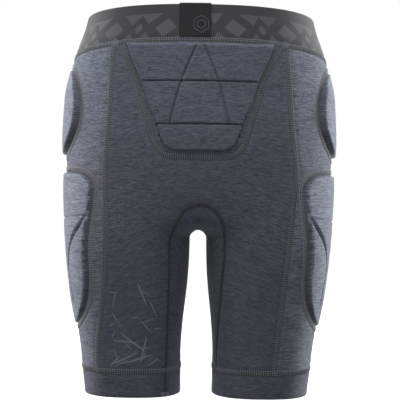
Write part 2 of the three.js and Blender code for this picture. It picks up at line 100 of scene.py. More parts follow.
# ---- Seam lines: (across, height), seen from the back or the front ----
SIDE_BACK_LEFT = [(-97, 402), (-98.5, 392), (-100.5, 336), (-105, 262), (-104, 222), (-103.5, 156),
                  (-106.5, 111), (-112, 65), (-112, 28)]
SIDE_BACK_RIGHT = [(97, 402), (98, 392), (102, 338), (107, 282), (110, 255), (106.5, 215), (101, 160),
                   (95.5, 103), (90, 44), (88.5, 28)]
SIDE_FRONT = [(97, 384), (98, 376), (101, 330), (106, 280), (108, 200), (111, 120), (113, 60), (113, 28)]
TAILBONE_EDGE = [(97, 404), (93, 397), (88, 390), (77, 373), (70, 355), (65.5, 335), (60.5, 319), (56.5, 307),
                 (53, 293), (47, 281), (39, 275), (26, 272.5), (0, 272)]
GUSSET_LEFT = [(-34.7, 0), (-34.5, 35), (-33.5, 65), (-32.5, 112), (-31.5, 152), (-32, 166), (-30.5, 182),
               (-26.5, 193), (-17.5, 210), (-9, 217), (1, 220.5)]
GUSSET_RIGHT = [(23, 28), (23, 38), (23.5, 60), (25.5, 91), (27.5, 127), (29.2, 147), (30.4, 167),
                (29.6, 187), (27, 200), (21, 210.5), (12, 218), (1, 220.5)]
GUSSET_FRONT = [(40, 28), (40, 31), (39.4, 54), (37.4, 104), (36, 142), (35, 165), (32, 184),
                (26, 199), (15, 212), (0, 217)]

# ---- Pad outlines, half of each, seen from the side: (back to front, height) ----
HIP_EDGE = [(0, 379), (-17, 378), (-32, 372), (-46, 355), (-53.5, 337), (-56.5, 317), (-54.5, 303),
            (-47, 290), (-31, 277), (-14, 272), (0, 271)]
THIGH_EDGE = [(0, 259), (-50, 258.5), (-67, 255), (-76, 246), (-79.5, 222), (-80, 192), (-77.5, 157),
              (-72.5, 128), (-64, 104), (-49, 87), (-28, 78), (0, 75)]
# The raised part of the tailbone pad lies well inside its seam: (across, height).
TAILBONE_RAISED = [(0, 407), (82, 405), (80, 392), (73, 374), (65, 356), (58.5, 335), (52, 320), (47.5, 308),
                   (43.5, 295), (38, 284.5), (30, 280), (0, 279)]

# ---- Pad grooves ----
TAILBONE_GROOVES = [
    [(-67, 356), (0, 356.5), (67, 356)],
    [(-51, 308), (0, 308.5), (51, 308)],
    [(-4.5, 396), (-20.5, 355), (-32.5, 309)],
    [(4.5, 396), (20.5, 355), (32.5, 309)],
]
THIGH_GROOVES = [
    [(-76, 206), (-64, 204.5), (-42, 203.5), (0, 202), (42, 203.5), (64, 204.5), (76, 206)],
    [(-75.5, 205), (-71, 195), (-60, 180), (-51, 166), (-44, 150), (-42.5, 135), (-44, 107)],
    [(75.5, 205), (71, 195), (60, 180), (51, 166), (44, 150), (42.5, 135), (44, 107)],
]
WEDGE_HEIGHT = 186              # where the thigh pad's slanting grooves are widest

# ---- Strokes printed on the back of the left leg ----
PRINT_SEED = 11
PRINT_COUNT = 26
PRINT_DIRECTIONS = (0, 20, 40, 75, 110, 140)    # of the strokes, in degrees above level

# ---- The skin ----


def section_at(z):
    """(outer half width, axis x, axis y, half depth) of the right half at a height."""
    low = np.minimum(z, FORK_HEIGHT)
    axis_x = (hip_half_width(low) + leg_gap_half(low)) / 2
    front, back = front_depth(z), back_depth(z)
    return hip_half_width(z), axis_x, (front - back) / 2, (front + back) / 2


def exact_radius(angle, z):
    """Distance from the half's axis to the skin. Angle 0 is outwards, a quarter turn forwards."""
    outside, axis_x, _, deep = section_at(z)
    across, along = np.cos(angle), np.sin(angle)
    leg = (np.abs(across / (outside - axis_x)) ** LEG_ROUNDNESS
           + np.abs(along / deep) ** LEG_ROUNDNESS) ** (-1 / LEG_ROUNDNESS)
    near, far = np.zeros_like(leg), np.full_like(leg, 400)
    for _ in range(32):
        r = (near + far) / 2
        x = axis_x + r * across
        shape = np.abs(x / outside) ** TORSO_ROUNDNESS + np.abs(r * along / deep) ** TORSO_ROUNDNESS
        beyond = (shape > 1) | (x < -HALF_OVERLAP)
        near, far = np.where(beyond, near, r), np.where(beyond, r, far)
    inward = ease(-across, 0, 1)
    torso_share = (1 - inward) * ease(z, *FORK_OUTSIDE) + inward * ease(z, *FORK_INSIDE)
    return near * torso_share + leg * (1 - torso_share)


TABLE_STEP = math.radians(0.25)
TABLE_FLOOR = -12
table_angles = np.arange(-math.pi, math.pi + 2 * TABLE_STEP, TABLE_STEP)
radius_table = exact_radius(table_angles[None, :], np.arange(TABLE_FLOOR, 470.0)[:, None])


def radius(angle, z):
    """exact_radius, looked up."""
    column, row = (angle + math.pi) / TABLE_STEP, z - TABLE_FLOOR
    i, j = row.astype(int), column.astype(int)
    s, t = row - i, column - j
    return ((1 - s) * ((1 - t) * radius_table[i, j] + t * radius_table[i, j + 1])
            + s * ((1 - t) * radius_table[i + 1, j] + t * radius_table[i + 1, j + 1]))


def skin_distance(p):
    """Distance of points outside the skin."""
    _, axis_x, axis_y, _ = section_at(p[:, 2])
    dx, dy = np.abs(p[:, 0]) - axis_x, p[:, 1] - axis_y
    return np.hypot(dx, dy) - radius(np.arctan2(dy, dx), p[:, 2])


def slope_at(p):
    """The direction away from the skin at points, not of unit length."""
    e = 0.6
    steps = np.eye(3) * e
    return np.stack([(skin_distance(p + step) - skin_distance(p - step)) / (2 * e) for step in steps], 1)


def unit(v):
    return v / np.linalg.norm(v, axis=-1, keepdims=True)


def lifted(p, lift):
    """The points nearest to p that lie lift outside the skin."""
    for _ in range(4):
        slope = slope_at(p)
        p = p + slope * ((lift - skin_distance(p)) / (slope ** 2).sum(1))[:, None]
    return p


VIEWS = {
    "back": lambda a, z, out: np.stack([a, -out, z], 1),
    "front": lambda a, z, out: np.stack([a, out, z], 1),
    "left": lambda a, z, out: np.stack([-out, a, z], 1),
    "right": lambda a, z, out: np.stack([out, a, z], 1),
}


def on_skin(view, a, z):
    """The skin's points that a drawing's points cover, seen from a side."""
    near = np.full(len(a), 60.0 if view in ("left", "right") else 0.0)
    far = np.full(len(a), 260.0)
    for _ in range(30):
        out = (near + far) / 2
        outside = skin_distance(VIEWS[view](a, z, out)) > 0
        near, far = np.where(outside, near, out), np.where(outside, out, far)
    return VIEWS[view](a, z, near)


# ---- Lines ----


def resampled(points, step, closed=False):
    """Points every step along a line."""
    if closed:
        points = np.vstack([points, points[:1]])
    walked = np.concatenate([[0], np.cumsum(np.linalg.norm(np.diff(points, axis=0), axis=1))])
    count = max(2, round(walked[-1] / step) + 1)
    at = np.linspace(0, walked[-1], count)
    made = np.stack([np.interp(at, walked, column) for column in points.T], 1)
    return made[:-1] if closed else made


def curve_through(pairs, closed=False, step=1.0):
    """A centripetal Catmull-Rom curve through points, resampled every step."""
    p = np.array(pairs, float)
    count = len(p)
    spans = count if closed else count - 1
    made = []
    for i in range(spans):
        if closed:
            a, b, c, d = (p[(i + k) % count] for k in (-1, 0, 1, 2))
        else:
            b, c = p[i], p[i + 1]
            a = p[i - 1] if i else 2 * b - c
            d = p[i + 2] if i + 2 < count else 2 * c - b
        t1 = np.linalg.norm(b - a) ** 0.5
        t2 = t1 + np.linalg.norm(c - b) ** 0.5
        t3 = t2 + np.linalg.norm(d - c) ** 0.5
        t = np.linspace(t1, t2, 24, endpoint=False)[:, None]
        ab, bc, cd = (a * (t1 - t) + b * t) / t1, (b * (t2 - t) + c * (t - t1)) / (t2 - t1), \
            (c * (t3 - t) + d * (t - t2)) / (t3 - t2)
        made.append((((ab * (t2 - t) + bc * t) / t2) * (t2 - t)
                     + ((bc * (t3 - t) + cd * (t - t1)) / (t3 - t1)) * (t - t1)) / (t2 - t1))
    if not closed:
        made.append(p[-1:])
    return resampled(np.vstack(made), step, closed)


def mirrored(half):
    """A full outline from half of one, whose ends lie on the middle line."""
    return half + [(-a, z) for a, z in half[-2:0:-1]]


def flipped(pairs):
    return [(-a, z) for a, z in pairs]


def inside_outline(outline, a, z):
    """Whether points lie inside a closed outline."""
    crossings = np.zeros(len(a), int)
    for (a0, z0), (a1, z1) in zip(outline, np.roll(outline, -1, axis=0)):
        if z0 != z1:
            spans = (z0 > z) != (z1 > z)
            crossings += spans & (a < (a1 - a0) * (z - z0) / (z1 - z0) + a0)
    return crossings % 2 == 1


def distance_to(points, line):
    """Distance from each point to the nearest point of a dense line."""
    tree = KDTree(len(line))
    for i, p in enumerate(line):
        tree.insert(p, i)
    tree.balance()
    return np.array([tree.find(p)[2] for p in points])


back_pad_line = TAILBONE_EDGE + flipped(TAILBONE_EDGE)[-2::-1]
gusset_back_line = GUSSET_LEFT + GUSSET_RIGHT[-2::-1]
gusset_front_line = flipped(GUSSET_FRONT) + GUSSET_FRONT[-2::-1]
hip_outline = curve_through(mirrored(HIP_EDGE), closed=True)
thigh_outline = curve_through(mirrored(THIGH_EDGE), closed=True)


def drawn(view, pairs, closed=False):
    """The line on the skin under a drawn line."""
    line = curve_through(pairs, closed)
    return resampled(on_skin(view, *line.T), 1.0, closed)


def ring_line(axis_x, axis_y, height_at):
    """The level or sloping line round the body or a leg."""
    angle = np.radians(np.arange(0, 360, 0.5))
    turned = np.arctan2(np.sin(angle), math.copysign(1, axis_x) * np.cos(angle))
    near, far = np.full(len(angle), 20.0), np.full(len(angle), 100.0 if axis_x else 240.0)
    for _ in range(30):
        r = (near + far) / 2
        p = np.stack([axis_x + r * np.cos(angle), axis_y + r * np.sin(angle), 0 * r], 1)
        p[:, 2] = height_at(p[:, 1])
        outside = r > radius(turned, p[:, 2]) if axis_x else skin_distance(p) > 0
        near, far = np.where(outside, near, r), np.where(outside, r, far)
    return resampled(p, 1.0, closed=True)


cuff_axis_x, cuff_axis_y = (float(v) for v in section_at(np.array(float(CUFF_HEIGHT)))[1:3])
level = lambda y: np.full(len(y), float(CUFF_HEIGHT))
SEAMS = {
    "waist_seam": (ring_line(0, 8, waist_seam), True),
    "left_cuff_seam": (ring_line(-cuff_axis_x, cuff_axis_y, level), True),
    "right_cuff_seam": (ring_line(cuff_axis_x, cuff_axis_y, level), True),
    "left_side_back_seam": (drawn("back", SIDE_BACK_LEFT), False),
    "right_side_back_seam": (drawn("back", SIDE_BACK_RIGHT), False),
    "left_side_front_seam": (drawn("front", flipped(SIDE_FRONT)), False),
    "right_side_front_seam": (drawn("front", SIDE_FRONT), False),
    "tailbone_seam": (drawn("back", back_pad_line), False),
    "gusset_back_seam": (drawn("back", gusset_back_line), False),
    "gusset_front_seam": (drawn("front", gusset_front_line), False),
    "centre_front_seam": (drawn("front", [(0, 378), (0, 300), (0, 217)]), False),
}
for side in ("left", "right"):
    SEAMS[f"{side}_hip_pad_seam"] = (drawn(side, mirrored(HIP_EDGE), True), True)
    SEAMS[f"{side}_thigh_pad_seam"] = (drawn(side, mirrored(THIGH_EDGE), True), True)

# ---- Making objects ----


def add_object(name, verts, faces, materials, nodes=(), layers=None, face_material=None):
    """An object from millimetre points, riding on the body and standing for CAD nodes."""
    mesh = bpy.data.meshes.new(name)
    mesh.from_pydata((np.asarray(verts) * MM).tolist(), [], faces)
    mesh.polygons.foreach_set("use_smooth", np.ones(len(mesh.polygons), bool))
    for label, values in (layers or {}).items():
        mesh.attributes.new(label, "FLOAT_VECTOR", "POINT").data.foreach_set(
            "vector", np.ascontiguousarray(values, np.float32).ravel())
    for material in materials:
        mesh.materials.append(material)
    if face_material is not None:
        mesh.polygons.foreach_set("material_index", np.asarray(face_material, np.int32))
    mesh.update()
    made = bpy.data.objects.new(name, mesh)
    bpy.context.scene.collection.objects.link(made)
    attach(made, "root")
    if nodes:
        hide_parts(*nodes)
    return made


def thicken(piece, thickness):
    """Gives a piece of fabric its thickness, inwards."""
    solid = piece.modifiers.new("fabric thickness", "SOLIDIFY")
    solid.thickness = thickness * MM
    solid.offset = -1
    return piece


def grid_faces(rows, columns, closed=False):
    """Quads over a grid of points, row by row."""
    i, j = np.meshgrid(np.arange(rows - 1), np.arange(columns if closed else columns - 1), indexing="ij")
    a, b = i * columns + j, i * columns + (j + 1) % columns
    return np.stack([a, b, b + columns, a + columns], -1).reshape(-1, 4)


# ---- Materials ----


class Nodes:
    """A small helper that adds and links shader nodes."""

    def __init__(self, name):
        self.material = bpy.data.materials.new(name)
        self.material.use_nodes = True
        self.tree = self.material.node_tree
        self.shader = self.tree.nodes["Principled BSDF"]

    def add(self, kind, inputs=(), **settings):
        node = self.tree.nodes.new(kind)
        for key, value in settings.items():
            setattr(node, key, value)
        for key, value in dict(inputs).items():
            self.set(node.inputs[key], value)
        return node

    def set(self, socket, value):
        if isinstance(value, bpy.types.NodeSocket):
            self.tree.links.new(value, socket)
        else:
            socket.default_value = value

    def math(self, operation, *values):
        return self.add("ShaderNodeMath", enumerate(values), operation=operation).outputs[0]

    def grain(self, label="grain"):
        return self.add("ShaderNodeAttribute", attribute_name=label).outputs["Vector"]

    def noise(self, vector, scale, detail=2.0, roughness=0.5):
        """Noise from -1 to 1 over a vector multiplied by scale, one figure for each axis."""
        placed = self.add("ShaderNodeVectorMath", {0: vector, 1: scale}, operation="MULTIPLY").outputs[0]
        node = self.add("ShaderNodeTexNoise", {"Vector": placed, "Scale": 1.0, "Detail": detail,
                                               "Roughness": roughness})
        return self.math("MULTIPLY_ADD", node.outputs[0], 2.0, -1.0)

    def mix(self, share, low, high):
        node = self.add("ShaderNodeMix", data_type="RGBA", blend_type="MIX")
        self.set(node.inputs[0], share)
        self.set(node.inputs[6], low)
        self.set(node.inputs[7], high)
        return node.outputs[2]


def linear(red, green, blue):
    """A colour in the renderer's own units, from 0 to 255 figures."""
    figures = [c / 255 for c in (red, green, blue)]
    return [c / 12.92 if c <= 0.04045 else ((c + 0.055) / 1.055) ** 2.4 for c in figures] + [1.0]


def heather(name, dark, light, sheen=0.5):
    """Knit fabric of mixed yarns: long thin streaks along the grain, a fine loop texture and a soft sheen."""
    n = Nodes(name)
    grain = n.grain()
    streak = n.noise(grain, (0.12, 1.3, 1.0), 3.0, 0.6)
    fleck = n.noise(grain, (0.45, 2.4, 1.0), 2.0, 0.5)
    cloud = n.noise(grain, (0.03, 0.2, 1.0), 2.0)
    share = n.math("ADD", n.math("MULTIPLY", streak, 1.3), n.math("MULTIPLY", fleck, 0.9))
    share = n.math("ADD", share, n.math("MULTIPLY", cloud, 0.25))
    share = n.math("ADD", share, 0.5)
    share = n.math("MINIMUM", n.math("MAXIMUM", share, 0.0), 1.0)
    n.set(n.shader.inputs["Base Color"], n.mix(share, linear(*dark), linear(*light)))
    n.shader.inputs["Roughness"].default_value = 0.85
    n.shader.inputs["Specular IOR Level"].default_value = 0.25
    n.shader.inputs["Sheen Weight"].default_value = sheen
    n.shader.inputs["Sheen Roughness"].default_value = 0.45
    n.shader.inputs["Sheen Tint"].default_value = linear(205, 212, 228)
    loops = n.noise(grain, (0.9, 1.6, 1.0), 2.0, 0.6)
    relief = n.math("ADD", n.math("MULTIPLY", streak, 0.5), n.math("MULTIPLY", loops, 0.5))
    bump = n.add("ShaderNodeBump", {"Strength": 0.35, "Distance": 0.0004, "Height": relief})
    n.set(n.shader.inputs["Normal"], bump.outputs[0])
    return n.material


def plain(name, colour, roughness=0.8, sheen=0.3):
    """A plain woven or moulded material with a fine mottle."""
    n = Nodes(name)
    place = n.add("ShaderNodeTexCoord").outputs["Object"]
    mottle = n.noise(place, (900, 900, 900), 2.0)
    darker = [c * 0.75 for c in linear(*colour)[:3]] + [1.0]
    share = n.math("MULTIPLY_ADD", mottle, 0.5, 0.6)
    n.set(n.shader.inputs["Base Color"], n.mix(share, darker, linear(*colour)))
    n.shader.inputs["Roughness"].default_value = roughness
    n.shader.inputs["Specular IOR Level"].default_value = 0.3
    n.shader.inputs["Sheen Weight"].default_value = sheen
    return n.material


FABRIC_DARK, FABRIC_LIGHT = (58, 60, 72), (112, 115, 128)
back_fabric = heather("charcoal heather", FABRIC_DARK, FABRIC_LIGHT)
# The side panels are the same charcoal heather, painted lighter as a lit copy that stands in for the side
# light falling on them.
side_fabric = heather("side heather painted lighter", (66, 69, 81), (142, 146, 160), sheen=0.6)
# The hip and thigh pad faces are the same charcoal heather, painted lighter still as a lit copy for the light
# on their raised faces.
pad_fabric_painted_lighter = heather("pad heather painted lighter", (84, 87, 100), (166, 171, 186), sheen=0.7)
thread = plain("seam thread", (138, 140, 147), 0.6, 0.2)
dark_thread = plain("dark seam thread", (72, 70, 72), 0.6, 0.2)
seam_ground = plain("seam ground", (94, 96, 102), 0.85, 0.3)
# The pad seams' thread and ground are copies of the seam materials painted lighter, as painted light for the
# side light on the pads.
pad_seam_thread_painted_lighter = plain("pad seam thread painted lighter", (172, 173, 180), 0.6, 0.2)
pad_seam_ground_painted_lighter = plain("pad seam ground painted lighter", (124, 126, 133), 0.85, 0.4)
dark_ground = plain("dark seam ground", (66, 66, 71), 0.85, 0.3)
# Near-black for the recessed rows of each seam bed: painted shade under and between the thread rungs.
seam_recess_painted_shade = plain("seam recesses painted shade", (38, 38, 40), 0.9, 0.1)
pocket_mesh = plain("pocket mesh", (38, 39, 43))
pad_foam = plain("pad foam", (44, 45, 48), 0.95, 0.0)
label_cloth = plain("label cloth", (20, 20, 24), 0.7)
label_mark = plain("label mark", (78, 80, 92), 0.7)
print_ink = plain("leg print", (140, 146, 160), 0.6, 0.3)


def band_material():
    """Woven elastic: dark blocks and open diamonds on mid grey, under a plain dark border."""
    n = Nodes("woven elastic")
    place = n.add("ShaderNodeSeparateXYZ", {0: n.grain()})
    along, up = place.outputs[0], place.outputs[1]
    tile, middle = 62.0, 14.0

    def diamond(shift, wide, high):
        """1 inside a diamond that repeats every tile, 0 outside."""
        phase = n.math("FRACT", n.math("DIVIDE", n.math("ADD", along, shift), tile))
        across = n.math("MULTIPLY", n.math("ABSOLUTE", n.math("SUBTRACT", phase, 0.5)), tile / wide)
        rise = n.math("DIVIDE", n.math("ABSOLUTE", n.math("SUBTRACT", up, middle)), high)
        return n.math("LESS_THAN", n.math("ADD", across, rise), 1.0)

    large = n.math("SUBTRACT", diamond(0, 27, 24), diamond(0, 12.5, 10.5))
    small = n.math("SUBTRACT", diamond(tile / 2, 13, 15), diamond(tile / 2, 5, 6))
    border = n.math("GREATER_THAN", up, 30.5)
    dark = n.math("MAXIMUM", n.math("MAXIMUM", large, small), border)
    ribs = n.noise(n.grain(), (0.25, 2.2, 1.0), 2.0)
    rib_shade = n.math("MULTIPLY_ADD", ribs, 0.2, 0.5)
    pale = n.mix(rib_shade, linear(68, 68, 74), linear(92, 92, 100))
    deep = n.mix(rib_shade, linear(38, 38, 43), linear(56, 56, 62))
    n.set(n.shader.inputs["Base Color"], n.mix(dark, pale, deep))
    n.shader.inputs["Roughness"].default_value = 0.75
    n.shader.inputs["Sheen Weight"].default_value = 0.35
    n.shader.inputs["Sheen Roughness"].default_value = 0.5
    bump = n.add("ShaderNodeBump", {"Strength": 0.4, "Distance": 0.0003, "Height": n.math(
        "ADD", ribs, n.math("MULTIPLY", dark, 1.2))})
    n.set(n.shader.inputs["Normal"], bump.outputs[0])
    return n.material


elastic = band_material()

# ---- The fabric body ----

RING_SIDES = 300
levels = np.concatenate([np.arange(0, 174, 2.1), np.arange(174, 216, 1.2), np.arange(216, 446, 2.1), [446]])
WARP_FROM = 300                 # above this height the rings tilt, to follow the waistband's top edge


def half_body():
    """Points, quads and (round, up) lengths of the right half's skin."""
    angle = np.linspace(-math.pi, math.pi, RING_SIDES + 1)
    z = np.repeat(levels[:, None], len(angle), 1)
    top = np.full(len(angle), 440.0)
    for _ in range(6):
        _, axis_x, axis_y, _ = section_at(top)
        top = band_top(axis_y + radius(angle, top) * np.sin(angle))
    warped = WARP_FROM + (z - WARP_FROM) * (top[None, :] - WARP_FROM) / (446 - WARP_FROM)
    z = np.where(z > WARP_FROM, warped, z)
    _, axis_x, axis_y, _ = section_at(z)
    r = exact_radius(np.broadcast_to(angle, z.shape), z)
    points = np.stack([axis_x + r * np.cos(angle), axis_y + r * np.sin(angle), z], -1)
    steps = np.linalg.norm(np.diff(points, axis=1), axis=2)
    walked = np.concatenate([np.zeros((len(levels), 1)), np.cumsum(steps, axis=1)], 1)
    walked -= walked[:, [RING_SIDES // 2]]
    return points.reshape(-1, 3), grid_faces(*z.shape), walked.reshape(-1)


def whole_body():
    """The skin of both halves, cut at the middle, joined and rounded where the legs part."""
    points, faces, walked = half_body()
    mesh = bpy.data.meshes.new("half")
    mesh.from_pydata(points.tolist(), [], faces.tolist())
    mesh.attributes.new("walked", "FLOAT", "POINT").data.foreach_set("value", walked.astype(np.float32))
    form = bmesh.new()
    form.from_mesh(mesh)
    bmesh.ops.remove_doubles(form, verts=form.verts, dist=1e-3)
    everything = form.verts[:] + form.edges[:] + form.faces[:]
    bmesh.ops.bisect_plane(form, geom=everything, plane_co=(0, 0, 0), plane_no=(1, 0, 0), clear_inner=True)
    layer = form.verts.layers.float["walked"]
    right = np.array([v.co for v in form.verts])
    right_walked = np.array([v[layer] for v in form.verts])
    form.verts.index_update()
    right_faces = [[v.index for v in f.verts] for f in form.faces]
    form.free()
    bpy.data.meshes.remove(mesh)
    on_middle = np.abs(right[:, 0]) < 0.01
    right[on_middle, 0] = 0
    twin = np.arange(len(right))
    twin[~on_middle] = len(right) + np.arange((~on_middle).sum())
    left = right[~on_middle] * (-1, 1, 1)
    points = np.vstack([right, left])
    walked = np.concatenate([right_walked, -right_walked[~on_middle]])
    faces = right_faces + [[int(twin[i]) for i in reversed(f)] for f in right_faces]
    return rounded(points, faces), faces, walked


def rounded(points, faces):
    """Lets the skin settle into a soft fold along the middle, where the two legs part."""
    edges = np.array(sorted({(min(a, b), max(a, b)) for f in faces for a, b in zip(f, f[1:] + f[:1])}))
    x, z = points[:, 0], points[:, 2]
    share = ease(-np.abs(x), -24, -4) * ease(z, 181, 190) * ease(-z, -268, -235)
    degree = np.bincount(edges.ravel(), minlength=len(points))[:, None]
    for _ in range(160):
        total = np.zeros_like(points)
        np.add.at(total, edges[:, 0], points[edges[:, 1]])
        np.add.at(total, edges[:, 1], points[edges[:, 0]])
        points = points + 0.5 * share[:, None] * (total / degree - points)
    return points


body_points, body_faces, body_walked = whole_body()
body_normals = unit(slope_at(np.clip(body_points, (-999, -999, 1), (999, 999, 445))))


def seam_relief(points, seams, depth=0.55, reach=3.4, swell=0.3):
    """How far the fabric sinks at seams, and swells just beside them."""
    line = np.vstack([SEAMS[name][0] for name in seams])
    d = distance_to(points, line)
    return -depth * np.exp(-(d / reach) ** 2) + swell * np.exp(-((d - 8) / 4) ** 2)


body_points = body_points + body_normals * seam_relief(body_points, SEAMS)[:, None]


def line_at(pairs, z):
    """A seam line's across value at heights."""
    line = curve_through(pairs)
    order = np.argsort(line[:, 1])
    return np.interp(z, line[order, 1], line[order, 0])


def panel_of(c):
    """The panel that each of many points on the skin belongs to. Pad areas belong to none."""
    x, y, z = c.T
    behind = y < 0
    front_name = np.where(x < 0, "left_front_panel", "right_front_panel")
    name = np.where(behind, "back_panel", front_name).astype("U32")
    left_side = np.where(behind, x < line_at(SIDE_BACK_LEFT, z), x < -line_at(SIDE_FRONT, z))
    right_side = np.where(behind, x > line_at(SIDE_BACK_RIGHT, z), x > line_at(SIDE_FRONT, z))
    name[left_side], name[right_side] = "left_side_panel", "right_side_panel"
    gusset = np.where(behind, (x > line_at(GUSSET_LEFT, z)) & (x < line_at(GUSSET_RIGHT, z)) & (z < 220.5),
                      (np.abs(x) < line_at(GUSSET_FRONT, z)) & (z < 217))
    name[gusset] = "gusset"
    name[z > waist_seam(y)] = "waistband"
    name[(z < CUFF_HEIGHT) & (x < 0)] = "left_cuff"
    name[(z < CUFF_HEIGHT) & (x > 0)] = "right_cuff"
    tailbone = behind & (z > 274) & (z <= waist_seam(y)) & (np.abs(x) < line_at(TAILBONE_EDGE, z))
    in_pad = inside_outline(hip_outline, y, z) | inside_outline(thigh_outline, y, z)
    name[tailbone | (in_pad & (np.abs(x) > 105))] = ""
    return name


def grain_of(name, p, walked):
    """Where points lie along and across a panel's yarn, so that streaks follow its cut."""
    x, y, z = p.T
    along, up = walked.copy(), z.copy()
    if name == "back_panel":
        along = x * 1.0
        up = z + np.abs(x) * 0.34 * ease(-z, -245, -150)
    elif name == "gusset":
        along = y + 1.2 * z
        up = 0.75 * z - 0.65 * np.abs(y) + 0.6 * np.abs(x)
    elif name == "waistband":
        up = z - waist_seam(y)
    offset = sum(map(ord, name)) % 17 * 7.3
    return np.stack([along, up, np.full(len(z), offset)], 1)


PANEL_LOOKS = {
    "waistband": (elastic, "elastic_band", BAND_THICKNESS),
    "left_cuff": (back_fabric, "heather_fabric", CUFF_THICKNESS),
    "right_cuff": (back_fabric, "heather_fabric", CUFF_THICKNESS),
    # The side panels take the heather copy that is painted lighter, as painted light.
    "left_side_panel": (side_fabric, "side_fabric", PANEL_THICKNESS),
    "right_side_panel": (side_fabric, "side_fabric", PANEL_THICKNESS),
}


def add_panels():
    sizes = np.array([len(f) for f in body_faces])
    flat = np.concatenate(body_faces)
    starts = np.concatenate([[0], np.cumsum(sizes)[:-1]])
    centres = np.add.reduceat(body_points[flat], starts) / sizes[:, None]
    names = panel_of(centres)
    for name in sorted(set(names) - {""}):
        chosen = [body_faces[i] for i in np.flatnonzero(names == name)]
        used, place = np.unique(np.concatenate(chosen), return_inverse=True)
        ends = np.cumsum([len(f) for f in chosen])
        faces = [part.tolist() for part in np.split(place, ends[:-1])]
        material, slot, thickness = PANEL_LOOKS.get(name, (back_fabric, "heather_fabric", PANEL_THICKNESS))
        points = body_points[used]
        layers = {"grain": grain_of(name, points, body_walked[used])}
        thicken(add_object(name, points, faces, [material], [name], layers), thickness)


add_panels()

# ---- Pads ----


def pad_grid(view, outline, step, margin):
    """A square grid over an outline: drawn points, points on the skin, quads and distance to the edge."""
    low, high = outline.min(0) - margin, outline.max(0) + margin
    a, z = np.meshgrid(np.arange(low[0], high[0], step), np.arange(low[1], high[1], step))
    rows, columns = a.shape
    drawn_points = np.stack([a.ravel(), z.ravel()], 1)
    sure = inside_outline(outline, *drawn_points.T)
    flat = np.c_[drawn_points, np.zeros(len(drawn_points))]
    kept = sure | (distance_to(flat, np.c_[outline, np.zeros(len(outline))]) < margin)
    faces = grid_faces(rows, columns)
    faces = faces[kept[faces].all(1)]
    used, place = np.unique(faces, return_inverse=True)
    base = on_skin(view, *drawn_points[used].T)
    edge = distance_to(base, on_skin(view, *resampled(outline, 0.7, True).T))
    if view == "left":
        place = place.reshape(-1, 4)[:, ::-1]
    return drawn_points[used], base, place.reshape(-1, 4), np.where(sure[used], edge, -edge)


SWELL_STEP = 4.0                # the size of the faces in the cloth simulation
SWELL_FRAMES = 20


def swelling(points, normal, faces, held, most):
    """How far each point of a cover lifts when air blows it up, held at its seams and grooves."""
    piece = add_object("swelling", points, faces.tolist(), [])
    group = piece.vertex_groups.new(name="held")
    group.add([int(i) for i in np.flatnonzero(held)], 1.0, "REPLACE")
    cloth = piece.modifiers.new("cloth", "CLOTH")
    cloth.settings.quality = 6
    cloth.settings.mass = 0.0004
    cloth.settings.tension_stiffness = cloth.settings.compression_stiffness = 3
    cloth.settings.bending_stiffness = 0.02
    cloth.settings.use_pressure = True
    cloth.settings.uniform_pressure_force = 4
    cloth.settings.vertex_group_mass = "held"
    cloth.settings.effector_weights.gravity = 0
    cloth.point_cache.frame_end = SWELL_FRAMES
    for number in range(1, SWELL_FRAMES + 1):
        bpy.context.scene.frame_set(number)
    result = piece.evaluated_get(bpy.context.evaluated_depsgraph_get())
    after = np.array([v.co for v in result.data.vertices]) / MM
    bpy.context.scene.frame_set(1)
    bpy.data.objects.remove(piece)
    return np.clip(((after - points) * normal).sum(1), 0, most)


def spread(coarse_points, values, points):
    """Values given at the points of a square grid, spread evenly over finer points."""
    low = coarse_points.min(0)
    index = np.rint((coarse_points - low) / SWELL_STEP).astype(int)
    table = np.zeros(index.max(0) + 2)
    table[tuple(index.T)] = values
    place = np.clip((points - low) / SWELL_STEP, 0, np.array(table.shape) - 1.001)
    i, j = place.astype(int).T
    s, t = (place - place.astype(int)).T
    return ((1 - s) * ((1 - t) * table[i, j] + t * table[i, j + 1])
            + s * ((1 - t) * table[i + 1, j] + t * table[i + 1, j + 1]))


def hip_height(a, z):
    """The hip pad's face is flatter than the hip, so it stands highest at the front and back."""
    ends = (0.45 + 0.55 * ease(-z, -374, -345)) * (0.85 + 0.15 * ease(z, 275, 295))
    return (HIP_HEIGHT - 1.6 + 1.5 * (a / 50) ** 2) * ends


def thigh_height(a, z):
    """The thigh pad thins towards its lower end."""
    return (THIGH_HEIGHT - 1.2 + 1.0 * (a / 60) ** 2) * (0.62 + 0.38 * ease(z, 78, 118)) \
        * (0.8 + 0.2 * ease(-z, -257, -235))


def thigh_chevron(z):
    return 1.2, 2.6


def thigh_wedge(z):
    """A slanting groove is a wide dark wedge near the pad's edge, and fine below it."""
    return 1.2 + 1.7 * np.exp(-((z - WEDGE_HEIGHT) / 14) ** 2), 5.2


def tailbone_level(z):
    return 1.15, 3.9


def tailbone_slant(z):
    return 1.9, 2.8


def cover_height(view, points, base, edge, height, foot, width, grooves, raised):
    """How far a cover stands above the skin, without the swell of its cloth, and its distance to a groove."""
    from_wall = edge
    if raised is not None:
        line = on_skin(view, *resampled(raised, 0.7, True).T)
        from_wall = np.where(inside_outline(raised, *points.T), 1, -1) * distance_to(base, line)
    top = ease(from_wall, foot, foot + width) * ease(edge, 1, 7) * height(*points.T)
    nearest = np.full(len(base), 99.0)
    for pairs, shape in grooves:
        distance = distance_to(base, drawn(view, pairs))
        reach, depth = shape(points[:, 1])
        top -= np.minimum(depth * np.exp(-2.2 * (distance / reach) ** 2), np.maximum(top, 0) * 0.9)
        nearest = np.minimum(nearest, distance)
    top += np.where(edge < 4, -0.55 * np.exp(-(edge / 3.4) ** 2), 0)
    return top, nearest, np.minimum(from_wall - foot, edge)


